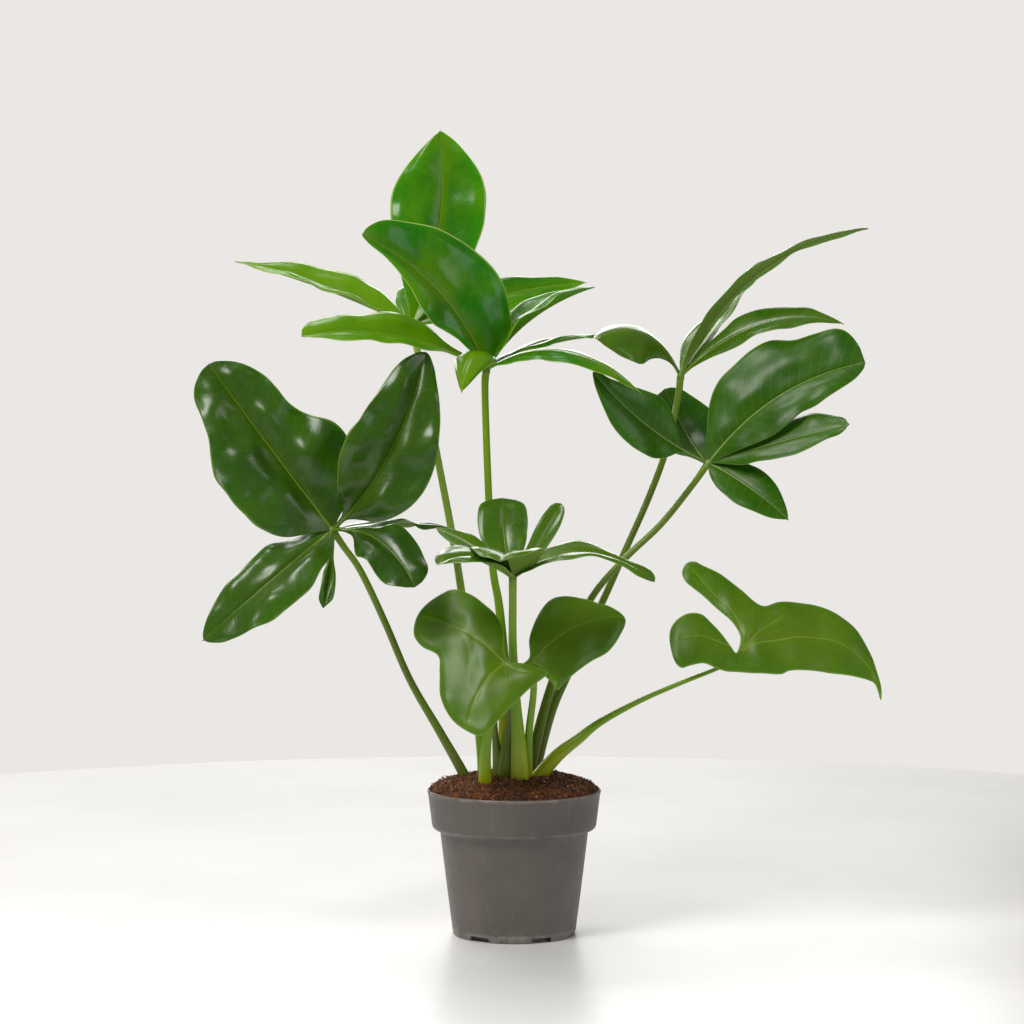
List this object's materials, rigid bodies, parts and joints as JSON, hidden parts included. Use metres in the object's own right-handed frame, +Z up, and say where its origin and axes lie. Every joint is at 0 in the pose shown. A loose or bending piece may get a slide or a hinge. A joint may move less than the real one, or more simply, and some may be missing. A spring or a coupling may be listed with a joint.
{
  "type": "potted philodendron",
  "caption": "Potted philodendron with long-stalked divided and lobed glossy leaves in a small tapered nursery pot with a deep rim band.",
  "frame": {"origin": "centre of the pot's flat underside, where it stands on the floor", "axes": "+Z up the pot's axis; the plant's front, the side it is shown from, faces -Y and its right is +X"},
  "size_m": [0.4617, 0.2506, 0.5572],
  "materials": {
    "pot_plastic": "satin",
    "coir_mix": "matte",
    "young_leaf": "gloss",
    "dark_leaf": "gloss",
    "mid_leaf": "satin",
    "grey_leaf": "satin",
    "lime_stalk": "satin",
    "olive_stalk": "satin"
  },
  "bodies": {
    "root": {"nursery_pot": "pot_plastic", "potting_mix": "coir_mix", "top_leaf_blade": "young_leaf", "back_top_leaf_blade": "young_leaf", "left_leaf_blade": "dark_leaf", "right_leaf_blade": "dark_leaf", "upper_right_leaf_blade": "mid_leaf", "middle_leaf_blade": "grey_leaf", "front_left_leaf_blade": "mid_leaf", "front_right_leaf_blade": "mid_leaf", "low_right_leaf_blade": "mid_leaf", "top_leaf_stalk": "lime_stalk", "back_top_leaf_stalk": "lime_stalk", "left_leaf_stalk": "olive_stalk", "right_leaf_stalk": "olive_stalk", "upper_right_leaf_stalk": "olive_stalk", "middle_leaf_stalk": "lime_stalk", "front_left_leaf_stalk": "lime_stalk", "front_right_leaf_stalk": "lime_stalk", "low_right_leaf_stalk": "lime_stalk"}
  },
  "joints": []
}
